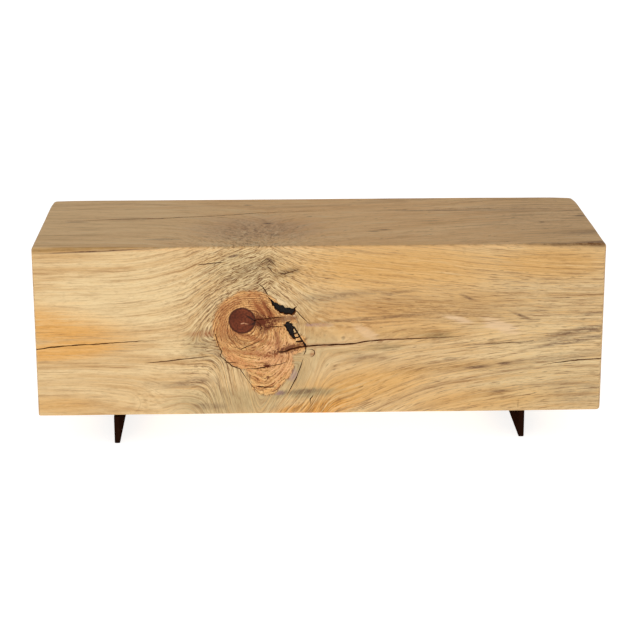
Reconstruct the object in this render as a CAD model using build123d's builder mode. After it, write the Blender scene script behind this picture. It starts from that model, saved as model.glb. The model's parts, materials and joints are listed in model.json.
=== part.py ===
"""Solid timber bench: one squared pine block with its bark pockets, on two steel blade feet.

Frame: millimetres, +Z up, origin on the floor under the middle of the block.
+X runs along the block, the front face (the one with the knot) looks to -Y, and
left and right are those of a person facing that front.
"""

import os

from build123d import *

# ---------------------------------------------------------------- timber block
BLOCK_LENGTH = 1220.0
BLOCK_DEPTH = 450.0
BLOCK_HEIGHT = 375.0
ARRIS_RADIUS = 6.0  # every edge of the block is eased by hand

# ---------------------------------------------------- branch knot and its bark
# The limb comes out of the front face. Its heart is the point that both bark
# pockets are set out from, in the plane of that face.
KNOT_FROM_LEFT_END = 445.0
KNOT_ABOVE_UNDERSIDE = 211.0
UPPER_POCKET_OUTLINE = [
    (52, 54), (65, 42), (84, 34), (101, 27), (116, 29), (115, 20),
    (110, 11), (89, 16), (76, 17), (67, 26), (63, 36), (53, 48),
]
LOWER_POCKET_OUTLINE = [
    (88, -6), (95, -2), (104, -3), (113, -22), (121, -30), (129, -44),
    (135, -53), (127, -50), (114, -46), (107, -39), (101, -28), (92, -17),
]
POCKET_DEPTH = 16.0
BARK_STANDS_BACK = 4.0  # from the front face of the block
BARK_SIDE_GAP = 0.4  # the bark has shrunk away from the walls of its pocket

# --------------------------------------------------------------- drying checks
# Splits along the grain of the front face, as points out from the knot's heart.
RIGHT_CHECK_PATH = [
    (75, -71), (91, -67), (106, -59), (129, -56), (175, -53),
    (230, -51), (265, -46), (310, -42), (353, -41), (478, -37),
]
END_CHECK_PATH = [(592, -55), (627, -52), (703, -35), (760, -17)]
LEFT_CHECK_PATH = [(-438, -59), (-393, -55), (-339, -50), (-286, -46), (-222, -44), (-168, -43)]
CHECK_OPENING = 3.0  # at the widest part of a split
CHECK_DEPTH = 14.0

# ------------------------------------------------------------------ blade foot
BLADE_THICKNESS = 12.0
BLADE_HEIGHT = 61.0
BLADE_END_MARGIN = 15.0  # mean distance from a blade's end to the block's face
BLADE_TOE_RADIUS = 2.0  # ground round along the floor
BLADE_CORNER_RADIUS = 3.0  # upright corners at the two ends
FOOT_FROM_END = 168.0  # middle of the blade to the end of the block
FOOT_SHIFT = 7.0  # left foot sits this far forward of centre, right foot back

# -------------------------------------------------------------- mounting plate
PLATE_THICKNESS = 6.0
PLATE_WIDTH = 140.0
PLATE_END_STEP = 14.0  # each end of the plate stands back from the blade's end
PLATE_CORNER_RADIUS = 10.0

# ----------------------------------------------------------- stitched weld bead
WELD_LEG = 6.0
WELD_CROWN = 0.8  # how far the bead bulges past its flat face
WELD_STITCH_LENGTH = 48.0
WELD_STITCHES = 4
WELD_END_MARGIN = 14.0  # plate's end to the first stitch

# ------------------------------------------------- lag screws, washers, and holes
SCREW_SHANK_RADIUS = 4.0
SCREW_LENGTH = 64.0  # under the head
SCREW_PLAIN_LENGTH = 22.0  # unthreaded, next to the head
SCREW_ROOT_RADIUS = 3.1
SCREW_THREAD_PITCH = 3.0
SCREW_POINT_LENGTH = 7.0
SCREW_POINT_RADIUS = 0.4
SCREW_HEAD_FLATS = 13.0
SCREW_HEAD_HEIGHT = 5.3
SCREW_HEAD_CHAMFER = 0.7
SCREW_FROM_BLADE = 42.0  # screw row to the middle of the blade
SCREW_FROM_PLATE_END = 40.0  # front and rear screws
WASHER_RADIUS = 11.0
WASHER_THICKNESS = 1.6
WASHER_HOLE_CLEARANCE = 0.4
PLATE_HOLE_CLEARANCE = 0.5
SLOT_TRAVEL = 6.0  # the block swells and shrinks across its grain, front to back
PILOT_CLEARANCE = 0.1
PILOT_END_ROOM = 2.0

# -------------------------------------------------------------- worked-out sizes
FOOT_HEIGHT = BLADE_HEIGHT + PLATE_THICKNESS
FRONT_FACE_Y = -BLOCK_DEPTH / 2
BLADE_LENGTH = BLOCK_DEPTH - 2 * BLADE_END_MARGIN
PLATE_LENGTH = BLADE_LENGTH - 2 * PLATE_END_STEP
PLATE_HOLE_RADIUS = SCREW_SHANK_RADIUS + PLATE_HOLE_CLEARANCE
PILOT_RADIUS = SCREW_SHANK_RADIUS + PILOT_CLEARANCE
SCREW_REACH = PLATE_LENGTH / 2 - SCREW_FROM_PLATE_END
WASHER_UNDERSIDE = BLADE_HEIGHT - WASHER_THICKNESS
SCREW_TIP_HEIGHT = WASHER_UNDERSIDE + SCREW_LENGTH
PILOT_DEPTH = SCREW_TIP_HEIGHT - FOOT_HEIGHT + PILOT_END_ROOM
KNOT_HEART = Vector(KNOT_FROM_LEFT_END - BLOCK_LENGTH / 2, FRONT_FACE_Y, FOOT_HEIGHT + KNOT_ABOVE_UNDERSIDE)

FEET = {"left": -1, "right": 1}  # side of the bench: direction along X
SCREW_ROWS = {"inner": -1, "outer": 1}  # side of the blade, outer is nearer the block's end
SCREW_PLACES = {"front": -1, "middle": 0, "rear": 1}


def foot_centre(side: int) -> Vector:
    """Return the point on the floor under the middle of one blade."""
    return Vector(side * (BLOCK_LENGTH / 2 - FOOT_FROM_END), side * FOOT_SHIFT, 0)


def screw_axes(side: int) -> dict[str, Vector]:
    """Return the floor point under each lag screw of one foot, by its place."""
    centre = foot_centre(side)
    axes = {}
    for row_name, row in SCREW_ROWS.items():
        for place_name, place in SCREW_PLACES.items():
            axes[f"{place_name}_{row_name}"] = Vector(
                centre.X + side * row * SCREW_FROM_BLADE, centre.Y + place * SCREW_REACH, 0
            )
    return axes


def save(piece: BuildPart, name: str) -> None:
    """Label a finished piece and write it as its own STEP file."""
    piece.part.label = name
    export_step(piece.part, f"parts/{name}.step")


def knot_plane(stand_back: float = 0.0) -> Plane:
    """Return a plane on the knot's heart that looks out of the front face.

    Args:
        stand_back: distance of the plane behind the front face.
    """
    origin = KNOT_HEART + Vector(0, stand_back, 0)
    return Plane(origin=origin, x_dir=(1, 0, 0), z_dir=(0, -1, 0))


def check_outline(path: list[tuple[float, float]]) -> list[tuple[float, float]]:
    """Return the mouth of one split, a sliver that closes to a point at both ends."""
    inner = path[1:-1]
    upper = [(across, height + CHECK_OPENING / 2) for across, height in inner]
    lower = [(across, height - CHECK_OPENING / 2) for across, height in reversed(inner)]
    return [path[0], *upper, path[-1], *lower]


def timber_block() -> BuildPart:
    """Build the block with its eased edges, bark pockets, checks and pilot holes."""
    with BuildPart() as block:
        with BuildSketch(Plane.XY.offset(FOOT_HEIGHT)):
            Rectangle(BLOCK_LENGTH, BLOCK_DEPTH)
        extrude(amount=BLOCK_HEIGHT)
        fillet(block.edges(), radius=ARRIS_RADIUS)
        openings = [(UPPER_POCKET_OUTLINE, POCKET_DEPTH), (LOWER_POCKET_OUTLINE, POCKET_DEPTH)]
        for path in (RIGHT_CHECK_PATH, END_CHECK_PATH, LEFT_CHECK_PATH):
            openings.append((check_outline(path), CHECK_DEPTH))
        for outline, depth in openings:
            with BuildSketch(knot_plane()):
                with BuildLine():
                    Polyline(*outline, close=True)
                make_face()
            extrude(amount=-depth, mode=Mode.SUBTRACT)
        for side in FEET.values():
            for axis in screw_axes(side).values():
                with BuildSketch(Plane.XY.offset(FOOT_HEIGHT)):
                    with Locations((axis.X, axis.Y)):
                        Circle(PILOT_RADIUS)
                extrude(amount=PILOT_DEPTH, mode=Mode.SUBTRACT)
    return block


def bark_inclusion(outline: list[tuple[float, float]]) -> BuildPart:
    """Build the bark that the growing trunk closed in beside the limb."""
    with BuildPart() as bark:
        with BuildSketch(knot_plane(BARK_STANDS_BACK)):
            with BuildLine():
                Polyline(*outline, close=True)
            make_face()
            offset(amount=-BARK_SIDE_GAP, kind=Kind.INTERSECTION, mode=Mode.REPLACE)
        extrude(amount=BARK_STANDS_BACK - POCKET_DEPTH)
    return bark


def foot_blade(side: int) -> BuildPart:
    """Build one blade, the steel plate on edge that the bench stands on."""
    centre = foot_centre(side)
    with BuildPart() as blade:
        with BuildSketch():
            with Locations((centre.X, centre.Y)):
                RectangleRounded(BLADE_THICKNESS, BLADE_LENGTH, BLADE_CORNER_RADIUS)
        extrude(amount=BLADE_HEIGHT)
        fillet(blade.faces().sort_by(Axis.Z)[0].edges(), radius=BLADE_TOE_RADIUS)
    return blade


def mounting_plate(side: int) -> BuildPart:
    """Build one flat plate with a round middle hole and slotted end holes in each row."""
    centre = foot_centre(side)
    with BuildPart() as plate:
        with BuildSketch(Plane.XY.offset(BLADE_HEIGHT)):
            with Locations((centre.X, centre.Y)):
                RectangleRounded(PLATE_WIDTH, PLATE_LENGTH, PLATE_CORNER_RADIUS)
        extrude(amount=PLATE_THICKNESS)
        with BuildSketch(Plane.XY.offset(BLADE_HEIGHT)):
            for place, axis in screw_axes(side).items():
                with Locations((axis.X, axis.Y)):
                    if place.startswith("middle"):
                        Circle(PLATE_HOLE_RADIUS)
                    else:
                        SlotCenterToCenter(SLOT_TRAVEL, 2 * PLATE_HOLE_RADIUS, rotation=90)
        extrude(amount=PLATE_THICKNESS, mode=Mode.SUBTRACT)
    return plate


def weld_bead(side: int, row: int) -> BuildPart:
    """Build the stitches of fillet weld along one side of a blade, under its plate."""
    centre = foot_centre(side)
    outward = side * row
    root_x = centre.X + outward * BLADE_THICKNESS / 2
    toe_x = root_x + outward * WELD_LEG
    crown = WELD_LEG / 2 + WELD_CROWN / 2**0.5
    first_stitch_y = centre.Y - PLATE_LENGTH / 2 + WELD_END_MARGIN
    last_stitch_y = centre.Y + PLATE_LENGTH / 2 - WELD_END_MARGIN - WELD_STITCH_LENGTH
    stitch_step = (last_stitch_y - first_stitch_y) / (WELD_STITCHES - 1)
    with BuildPart() as bead:
        for stitch in range(WELD_STITCHES):
            start = Vector(0, first_stitch_y + stitch * stitch_step, 0)
            with BuildSketch(Plane(origin=start, x_dir=(1, 0, 0), z_dir=(0, -1, 0))):
                with BuildLine():
                    Line((toe_x, BLADE_HEIGHT), (root_x, BLADE_HEIGHT))
                    Line((root_x, BLADE_HEIGHT), (root_x, BLADE_HEIGHT - WELD_LEG))
                    ThreePointArc(
                        (root_x, BLADE_HEIGHT - WELD_LEG),
                        (root_x + outward * crown, BLADE_HEIGHT - crown),
                        (toe_x, BLADE_HEIGHT),
                    )
                make_face()
            extrude(amount=-WELD_STITCH_LENGTH)
    return bead


def lag_screw(axis: Vector) -> BuildPart:
    """Build one hex lag screw, head down, with its thread as a row of rings."""
    thread_start = WASHER_UNDERSIDE + SCREW_PLAIN_LENGTH
    point_start = SCREW_TIP_HEIGHT - SCREW_POINT_LENGTH
    ring_count = int((point_start - thread_start) / SCREW_THREAD_PITCH)
    with BuildPart() as screw:
        with BuildSketch(Plane(origin=axis, x_dir=(1, 0, 0), z_dir=(0, -1, 0))):
            with BuildLine():
                profile = [(0, WASHER_UNDERSIDE), (SCREW_SHANK_RADIUS, WASHER_UNDERSIDE)]
                profile.append((SCREW_SHANK_RADIUS, thread_start))
                for ring in range(ring_count):
                    root_height = thread_start + (ring + 0.5) * SCREW_THREAD_PITCH
                    profile.append((SCREW_ROOT_RADIUS, root_height))
                    profile.append((SCREW_SHANK_RADIUS, root_height + SCREW_THREAD_PITCH / 2))
                profile.append((SCREW_ROOT_RADIUS, point_start))
                profile.append((SCREW_POINT_RADIUS, SCREW_TIP_HEIGHT))
                profile.append((0, SCREW_TIP_HEIGHT))
                Polyline(*profile, close=True)
            make_face()
        revolve(axis=Axis((axis.X, axis.Y, 0), (0, 0, 1)))
        with BuildSketch(Plane.XY.offset(WASHER_UNDERSIDE)):
            with Locations((axis.X, axis.Y)):
                RegularPolygon(SCREW_HEAD_FLATS / 2, side_count=6, major_radius=False)
        extrude(amount=-SCREW_HEAD_HEIGHT)
        chamfer(screw.faces().sort_by(Axis.Z)[0].edges(), length=SCREW_HEAD_CHAMFER)
    return screw


def washer(axis: Vector) -> BuildPart:
    """Build one flat washer between a screw's head and the plate."""
    with BuildPart() as ring:
        with BuildSketch(Plane.XY.offset(WASHER_UNDERSIDE)):
            with Locations((axis.X, axis.Y)):
                Circle(WASHER_RADIUS)
                Circle(SCREW_SHANK_RADIUS + WASHER_HOLE_CLEARANCE, mode=Mode.SUBTRACT)
        extrude(amount=WASHER_THICKNESS)
    return ring


os.makedirs("parts", exist_ok=True)
save(timber_block(), "timber_block")
save(bark_inclusion(UPPER_POCKET_OUTLINE), "upper_bark_inclusion")
save(bark_inclusion(LOWER_POCKET_OUTLINE), "lower_bark_inclusion")
for side_name, side in FEET.items():
    save(foot_blade(side), f"{side_name}_foot_blade")
    save(mounting_plate(side), f"{side_name}_mounting_plate")
    for row_name, row in SCREW_ROWS.items():
        save(weld_bead(side, row), f"{side_name}_{row_name}_weld")
    for place_name, axis in screw_axes(side).items():
        save(lag_screw(axis), f"{side_name}_lag_screw_{place_name}")
        save(washer(axis), f"{side_name}_washer_{place_name}")
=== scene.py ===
"""A solid timber bench, dressed around its CAD frame.

One squared pine block, with a branch knot, two bark pockets and its drying checks, stands on
two blade feet of dark steel. Metres, +Z up, +X along the block; the knot's face looks to -Y.
"""

import json
import logging
import math
from collections.abc import Sequence
from dataclasses import dataclass
from enum import Enum
from typing import Union

import bmesh
import bpy
from mathutils import Matrix, Vector, noise

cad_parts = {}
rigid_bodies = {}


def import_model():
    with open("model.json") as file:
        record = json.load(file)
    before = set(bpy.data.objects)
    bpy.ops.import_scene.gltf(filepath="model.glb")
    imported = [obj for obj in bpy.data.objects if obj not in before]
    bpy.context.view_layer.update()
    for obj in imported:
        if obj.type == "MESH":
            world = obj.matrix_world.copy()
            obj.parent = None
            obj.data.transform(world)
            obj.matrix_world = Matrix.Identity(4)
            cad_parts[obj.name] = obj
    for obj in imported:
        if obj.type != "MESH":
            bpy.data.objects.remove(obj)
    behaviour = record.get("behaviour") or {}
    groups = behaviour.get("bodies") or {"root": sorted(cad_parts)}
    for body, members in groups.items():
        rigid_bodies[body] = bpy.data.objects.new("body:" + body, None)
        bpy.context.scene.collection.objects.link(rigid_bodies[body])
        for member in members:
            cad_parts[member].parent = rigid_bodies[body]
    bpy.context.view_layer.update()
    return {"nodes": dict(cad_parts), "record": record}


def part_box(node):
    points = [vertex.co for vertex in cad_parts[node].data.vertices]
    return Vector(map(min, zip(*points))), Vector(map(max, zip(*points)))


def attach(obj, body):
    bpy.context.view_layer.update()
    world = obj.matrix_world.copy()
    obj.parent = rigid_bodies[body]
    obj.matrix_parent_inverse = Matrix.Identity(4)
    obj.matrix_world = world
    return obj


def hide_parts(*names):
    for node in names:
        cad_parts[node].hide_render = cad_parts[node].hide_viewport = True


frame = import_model()

log = logging.getLogger("timber_bench")

MM = 0.001
BODY = "root"
Point = tuple[float, float]
Triple = tuple[float, float, float]
Tone = tuple[float, float, float, float]
Group = bpy.types.NodeTree

# ------------------------------------------------------------------ places in the block, metres
BLOCK_LOW, BLOCK_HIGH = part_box("timber_block")
FRONT_Y = BLOCK_LOW.y
TOP_Z = BLOCK_HIGH.z
HEART = Vector((-0.165, FRONT_Y, 0.278))  # heart of the branch knot, in the front face
PARTING_TOP = 0.226  # fibres above this height pass over the limb
PARTING_FOOT = 0.206  # and those below this one pass under it
LIMB_REACH = 0.22  # how deep behind the front face the limb still bends the fibres
LIMB_LENGTH = 0.12  # how deep into the block the whole limb runs before it narrows
PITH_Y = 0.060  # the tree's own pith runs along the block, low and behind the middle
PITH_Z = 0.130
RING_WIDTH = 0.0060
LIMB_RING_WIDTH = 0.012


# =================================================================== writing shader nodes
class Reading:
    """A number that varies over a surface; arithmetic on it adds Math nodes to its tree."""

    def __init__(self, socket: bpy.types.NodeSocket) -> None:
        """Keep the socket that gives the number."""
        self.socket = socket
        self.tree = socket.id_data

    def math(self, operation: str, *others: "Operand") -> "Reading":
        """Return this reading put through one Math node.

        Args:
            operation: the Math node's operation.
            others: the node's further operands.

        Returns:
            The node's result.
        """
        node = self.tree.nodes.new("ShaderNodeMath")
        node.operation = operation
        for slot, operand in zip(node.inputs, (self, *others)):
            feed(slot, operand)
        return Reading(node.outputs["Value"])

    def __add__(self, other: "Operand") -> "Reading":
        """Return the sum."""
        return self.math("ADD", other)

    def __sub__(self, other: "Operand") -> "Reading":
        """Return the difference."""
        return self.math("SUBTRACT", other)

    def __mul__(self, other: "Operand") -> "Reading":
        """Return the product."""
        return self.math("MULTIPLY", other)

    def __truediv__(self, other: "Operand") -> "Reading":
        """Return the quotient."""
        return self.math("DIVIDE", other)

    __radd__ = __add__
    __rmul__ = __mul__

    def __rsub__(self, other: float) -> "Reading":
        """Return a plain number less this reading."""
        return self.math("MULTIPLY_ADD", -1.0, other)

    def __rtruediv__(self, other: float) -> "Reading":
        """Return a plain number divided by this reading."""
        return self.math("POWER", -1.0) * other

    def squared(self) -> "Reading":
        """Return the square."""
        return self.math("MULTIPLY", self)

    def root(self) -> "Reading":
        """Return the square root."""
        return self.math("SQRT")

    def decay(self) -> "Reading":
        """Return e to the power of minus this reading."""
        return (self * -1.0).math("EXPONENT")

    def fraction(self) -> "Reading":
        """Return the part after the decimal point."""
        return self.math("FRACT")

    def most(self, other: "Operand") -> "Reading":
        """Return the larger of the two."""
        return self.math("MAXIMUM", other)

    def least(self, other: "Operand") -> "Reading":
        """Return the smaller of the two."""
        return self.math("MINIMUM", other)

    def ramp(self, low: float, high: float) -> "Reading":
        """Return a soft step, 0 at low and 1 at high; low may be the larger number."""
        node = self.tree.nodes.new("ShaderNodeMapRange")
        node.interpolation_type = "SMOOTHSTEP"
        if low > high:
            feed(node.inputs["To Min"], 1.0)
            feed(node.inputs["To Max"], 0.0)
        feed(node.inputs["Value"], self)
        feed(node.inputs["From Min"], min(low, high))
        feed(node.inputs["From Max"], max(low, high))
        return Reading(node.outputs["Result"])


Operand = Union[Reading, bpy.types.NodeSocket, float, tuple, Vector]


def feed(slot: bpy.types.NodeSocket, operand: Operand) -> None:
    """Link a reading or socket to an input, or set the input to a plain value."""
    if isinstance(operand, Reading):
        slot.id_data.links.new(operand.socket, slot)
    elif isinstance(operand, bpy.types.NodeSocket):
        slot.id_data.links.new(operand, slot)
    else:
        slot.default_value = operand


def tone(red: int, green: int, blue: int) -> Tone:
    """Return a display colour, 0 to 255 a channel, as the linear colour that nodes take."""
    shares = (channel / 255 for channel in (red, green, blue))
    return (*(((c + 0.055) / 1.055) ** 2.4 if c > 0.04 else c / 12.92 for c in shares), 1.0)


class Sheet:
    """A node tree being written, with short calls for the nodes that the finishes need."""

    def __init__(self, tree: Group) -> None:
        """Keep the tree that the nodes go into."""
        self.tree = tree

    def add(self, kind: str, settings: dict | None = None, inputs: dict | None = None) -> bpy.types.Node:
        """Add one node.

        Args:
            kind: the node's type, without its ShaderNode prefix.
            settings: the node's own properties.
            inputs: a value or reading for each named or numbered input.

        Returns:
            The new node.
        """
        node = self.tree.nodes.new("ShaderNode" + kind)
        for name, value in (settings or {}).items():
            setattr(node, name, value)
        for name, value in (inputs or {}).items():
            feed(node.inputs[name], value)
        return node

    def position(self) -> bpy.types.NodeSocket:
        """Return the place in the bench, in metres."""
        return self.add("TexCoord").outputs["Object"]

    def split(self, vector: Operand) -> tuple[Reading, Reading, Reading]:
        """Return a vector's three parts."""
        outputs = self.add("SeparateXYZ", inputs={"Vector": vector}).outputs
        return Reading(outputs["X"]), Reading(outputs["Y"]), Reading(outputs["Z"])

    def vector(self, x: Operand, y: Operand, z: Operand) -> bpy.types.NodeSocket:
        """Return a vector of three readings."""
        return self.add("CombineXYZ", inputs={"X": x, "Y": y, "Z": z}).outputs["Vector"]

    def grain(
        self, vector: Operand, scale: float, detail: float = 2.0, roughness: float = 0.5
    ) -> Reading:
        """Return noise about 0.5, with features of about one over scale."""
        inputs = {"Vector": vector, "Scale": scale, "Detail": detail, "Roughness": roughness}
        return Reading(self.add("TexNoise", inputs=inputs).outputs["Fac"])

    def row_noise(self, along: Reading, scale: float) -> Reading:
        """Return noise about 0.5 along one reading."""
        node = self.add("TexNoise", {"noise_dimensions": "1D"}, {"W": along, "Scale": scale, "Detail": 1.0})
        return Reading(node.outputs["Fac"])

    def mix(self, share: Operand, under: Operand, over: Operand, way: str = "MIX") -> bpy.types.NodeSocket:
        """Lay one colour over another.

        Args:
            share: how much of the upper colour shows, 0 to 1.
            under: the lower colour.
            over: the upper colour.
            way: the blend type.

        Returns:
            The mixed colour.
        """
        node = self.add("Mix", {"data_type": "RGBA", "blend_type": way, "clamp_factor": True})
        colour_inputs = [slot for slot in node.inputs if slot.type == "RGBA"]
        feed(node.inputs["Factor"], share)
        feed(colour_inputs[0], under)
        feed(colour_inputs[1], over)
        return next(slot for slot in node.outputs if slot.type == "RGBA")

    def layered(self, colour: Operand, *layers: tuple[Operand, Operand]) -> Operand:
        """Lay colours over one another, each given after the share of it that shows."""
        for share, over in layers:
            colour = self.mix(share, colour, over)
        return colour

    def place(self, group: Group, inputs: dict) -> dict[str, Reading]:
        """Place a shared effect and return its readings by name."""
        node = self.add("Group", {"node_tree": group}, inputs)
        return {slot.name: Reading(slot) for slot in node.outputs}

    def bump(self, strength: float, distance: float, height: Operand) -> bpy.types.NodeSocket:
        """Return the normal of a fine relief, its distance in metres."""
        inputs = {"Strength": strength, "Distance": distance, "Height": height}
        return self.add("Bump", inputs=inputs).outputs["Normal"]


class Effect(Sheet):
    """A shared effect, written as a node group with named inputs and outputs."""

    def __init__(self, name: str, inputs: dict[str, str], outputs: Sequence[str]) -> None:
        """Start the group.

        Args:
            name: the effect's name.
            inputs: each input's name and its kind, Vector or Float.
            outputs: the names of the numbers that it gives.
        """
        super().__init__(bpy.data.node_groups.new(name, "ShaderNodeTree"))
        for label, kind in inputs.items():
            self.tree.interface.new_socket(name=label, in_out="INPUT", socket_type="NodeSocket" + kind)
        for label in outputs:
            self.tree.interface.new_socket(name=label, in_out="OUTPUT", socket_type="NodeSocketFloat")
        self.entry = self.tree.nodes.new("NodeGroupInput")
        self.exit = self.tree.nodes.new("NodeGroupOutput")

    def given(self, label: str) -> Reading:
        """Return one of the group's inputs."""
        return Reading(self.entry.outputs[label])

    def give(self, label: str, reading: Reading) -> None:
        """Set one of the group's outputs."""
        feed(self.exit.inputs[label], reading)


# =================================================================== shared effects
def soft_patch_effect() -> Group:
    """Write a tilted ellipsoid with a soft, ragged edge: 1 inside it and 0 outside."""
    effect = Effect(
        "soft_patch",
        {"Position": "Vector", "Centre": "Vector", "Half Size": "Vector", "Tilt": "Float", "Ragged": "Float"},
        ["Cover"],
    )
    centre = effect.given("Centre")
    about = {"Vector": effect.given("Position"), "Center": centre, "Angle": effect.given("Tilt")}
    turned = effect.add("VectorRotate", {"rotation_type": "Y_AXIS"}, about).outputs[0]
    off = effect.add("VectorMath", {"operation": "SUBTRACT"}, {0: turned, 1: centre}).outputs[0]
    sizes = {0: off, 1: effect.given("Half Size")}
    share = effect.add("VectorMath", {"operation": "DIVIDE"}, sizes).outputs[0]
    reach = Reading(effect.add("VectorMath", {"operation": "LENGTH"}, {0: share}).outputs["Value"])
    effect.give("Cover", (reach + effect.given("Ragged")).ramp(1.35, 0.45))
    return effect.tree


def trunk_growth_effect() -> Group:
    """Write how the trunk grew: fibres that part round the limb, and rings about the pith.

    Age counts the rings, Fibre is the height that a fibre would have without the limb, Figure
    is 1 where the grain is crumpled over the limb and Ripple 1 where it ripples under it.
    """
    effect = Effect("trunk_growth", {"Position": "Vector"}, ["Age", "Fibre", "Figure", "Ripple"])
    place = effect.given("Position")
    x, y, z = effect.split(place)

    def mound(centre_x: float, centre_z: float, half_length: float, half_height: float) -> Reading:
        """Return 1 at a place in the front face, fading out round it."""
        return (((x - centre_x) / half_length).squared() + ((z - centre_z) / half_height).squared()).decay()

    reach = ((y - FRONT_Y) / LIMB_REACH).squared().decay()
    above = (z - PARTING_TOP).most(0.0)
    below = (z * -1.0 + PARTING_FOOT).most(0.0)
    # Over the limb: a long rise from the left, steep close to the limb, and a quick fall.
    crest = ((x + 0.46) / 0.352).most(0.0).least(1.0).math("POWER", 2.1)
    past = (((x + 0.108).most(0.0) / 0.075).decay() * 0.5 + 0.5) * x.ramp(0.60, -0.02)
    fade = ((above - 0.12).most(0.0) / 0.22).squared().decay()
    lift = crest * past * 0.128 * (above / 0.075).math("TANH") * fade
    # Close over the limb the fibres stand up in a collar.
    collar = x.ramp(-0.295, -0.195) * x.ramp(-0.005, -0.115) * (above / 0.022).math("TANH") * 0.060
    collar = collar * (above / 0.13).squared().decay()
    # Under the limb: fibres that turn down before it, pass its tip and climb away behind it.
    into = (x + z * 0.30 + 0.292) * 1.45
    away = (z * 0.62 - x + 0.035) * 1.25
    sunk = into.math("SMOOTH_MIN", away, 0.05).math("SMOOTH_MIN", below * 1.6 + 0.205, 0.03)
    push = z.math("SMOOTH_MAX", sunk, 0.055) - z
    # Further off they sag towards the limb's foot on both sides.
    slide = x.ramp(-0.50, -0.34) * x.ramp(0.25, -0.06) * (below / 0.12).math("TANH") * 0.024
    tail = x.ramp(-0.10, 0.0) * x.ramp(0.30, 0.02) * (below / 0.09).math("TANH") * 0.040
    hill = mound(-0.296, 0.060, 0.034, 0.036) * 0.026
    parting = (lift + collar + hill - push * z.ramp(0.24, 0.20) - slide - tail) * reach
    fan = (z * -0.31 + 0.127) * x.ramp(-0.05, 0.61)
    figure = mound(-0.145, 0.36, 0.125, 0.15) * reach
    ripple = mound(-0.226, 0.19, 0.062, 0.15) + mound(-0.02, 0.082, 0.11, 0.026)
    crumple = (effect.grain(place, 42.0, 2.0) - 0.5) * (figure * 0.012 + 0.0020)
    fibre = z - parting - fan + crumple
    # The rings: about the pith, wider above it and to the front, with a long nose on the left.
    radius = ((y - PITH_Y).squared() + (fibre - PITH_Z).squared()).root()
    sway = (effect.grain(place, 5.0, 1.0) - 0.5) * 0.010
    one_sided = (fibre - PITH_Z) * 0.45 - (y - PITH_Y) * 0.50
    nose = x.ramp(-0.325, -0.42) * ((z - 0.108) / 0.042).squared().decay() * (x * -0.05 + 0.012)
    effect.give("Age", (radius + one_sided - nose * reach + sway) / RING_WIDTH)
    effect.give("Fibre", fibre)
    effect.give("Figure", figure)
    effect.give("Ripple", ripple.least(1.0) * reach)
    return effect.tree


def limb_growth_effect() -> Group:
    """Write the limb: its outline in the front face, its own rings and its dark heart.

    Inside is the distance into the limb, below 0 outside it, in metres. Age counts its rings,
    Heart is 1 at the dark heart's edge and Dash is its short fibres, about 0.5.
    """
    effect = Effect("limb_growth", {"Position": "Vector"}, ["Inside", "Age", "Heart", "Dash"])
    place = effect.given("Position")
    x, y, z = effect.split(place)
    ragged = (effect.grain(place, 75.0, 3.0, 0.6) - 0.5) * 0.016

    def disc(centre_x: float, centre_z: float, radius: float, stretch: float = 1.0) -> Reading:
        """Return the distance outside a disc in the front face, or outside one stretched in length."""
        along = x - centre_x if stretch == 1.0 else (x - centre_x) / stretch
        return (along.squared() + (z - centre_z).squared()).root() - radius

    def fused(first: Reading, second: Reading, blend: float) -> Reading:
        """Return the distance outside two shapes that flow together."""
        return first.math("SMOOTH_MIN", second, blend)

    lower = fused(disc(-0.110, 0.181, 0.052), disc(-0.117, 0.141, 0.033), 0.02)
    corner = fused(disc(-0.052, 0.224, 0.023), disc(-0.106, 0.283, 0.018, 3.2), 0.01)
    upper = fused(disc(-0.149, 0.263, 0.082), disc(-0.142, 0.242, 0.078), 0.01)
    outside = fused(upper, fused(lower, corner, 0.01), 0.012)
    buried = (y - FRONT_Y - LIMB_LENGTH).most(0.0)
    effect.give("Inside", ragged - outside - buried)
    # Rings about the heart, wider down and to the right, that turn into the outline's own shape.
    along, up = x - HEART.x, z - HEART.z
    off_squared = along.squared() + up.squared()
    lean = along * 0.35 + up * -0.936
    spread = 0.5
    turn = (lean.squared() * spread**2 + off_squared * (1 - spread**2)).root()
    reach = (turn - lean * spread) / (1 - spread**2)
    wander = (effect.grain(place, 26.0, 2.0) - 0.5) * 0.014
    share = reach / (reach - outside).most(0.001)
    age = (reach + wander) / LIMB_RING_WIDTH + share * 5.0
    effect.give("Age", age)
    off = off_squared.root().most(0.001)
    around = effect.vector(along / off * 7.0, up / off * 7.0, age * 4.2)
    effect.give("Dash", effect.grain(around, 1.0, 3.0, 0.62))
    heart = (((along + 0.002) / 0.0288).squared() + (up / 0.0290).squared()).root()
    effect.give("Heart", heart + ragged * 4.0)
    return effect.tree


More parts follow.
